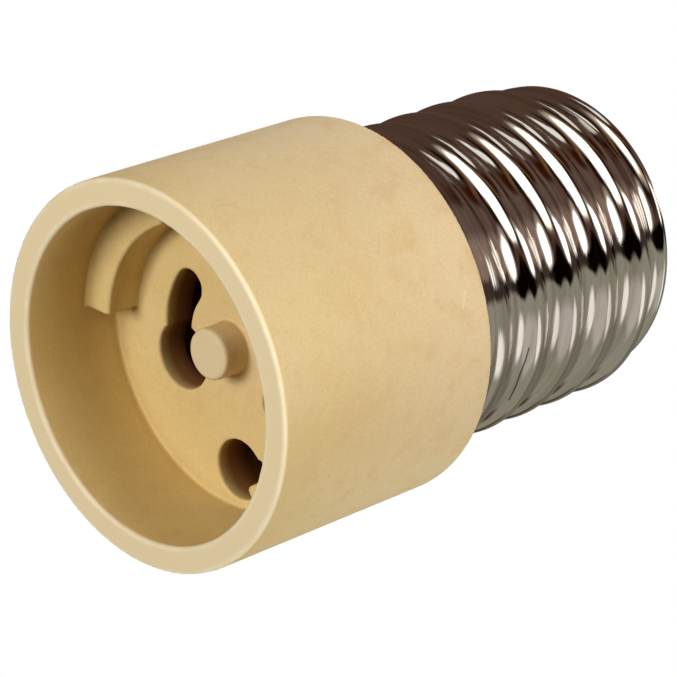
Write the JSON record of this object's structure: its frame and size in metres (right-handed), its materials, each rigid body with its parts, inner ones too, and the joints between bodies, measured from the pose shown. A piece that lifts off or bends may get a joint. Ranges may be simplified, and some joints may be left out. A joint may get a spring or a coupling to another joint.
{
  "type": "lamp socket adapter",
  "caption": "Ceramic cup that takes a twist-lock two-pin lamp, on a threaded metal screw base that fits a large lampholder.",
  "frame": {"origin": "centre of the cup's rim plane, on the axis, where the adapter stands mouth down", "axes": "+Z from the mouth to the screw end, +X through one keyhole's entry, +Y by the right-hand rule"},
  "size_m": [0.046, 0.046, 0.0781],
  "materials": {
    "ceramic": "unglazed cream steatite, matt with a faint sheen",
    "nickel_shell": "nickel plated rolled brass, mirror bright",
    "end_ceramic": "black glazed insulator",
    "contact_brass": "bright stamped brass",
    "solder": "dull tin solder",
    "cement": "rough refractory cement",
    "clip_metal": "nickel plated spring strip",
    "terminal_metal": "tinned brass",
    "lead_sleeve": "woven glass sleeve"
  },
  "bodies": {
    "root": {"ceramic_body": "ceramic", "screw_shell": "nickel_shell", "end_insulator": "end_ceramic", "centre_contact": "contact_brass", "centre_solder": "solder", "contact_plate": "ceramic", "plate_cement": "cement", "shell_pin_clip": "clip_metal", "centre_pin_clip": "clip_metal", "clip_rivets": "clip_metal", "shell_terminal": "terminal_metal", "centre_terminal": "terminal_metal", "shell_lead": "lead_sleeve", "centre_lead": "lead_sleeve", "shell_solder": "solder"}
  },
  "joints": []
}
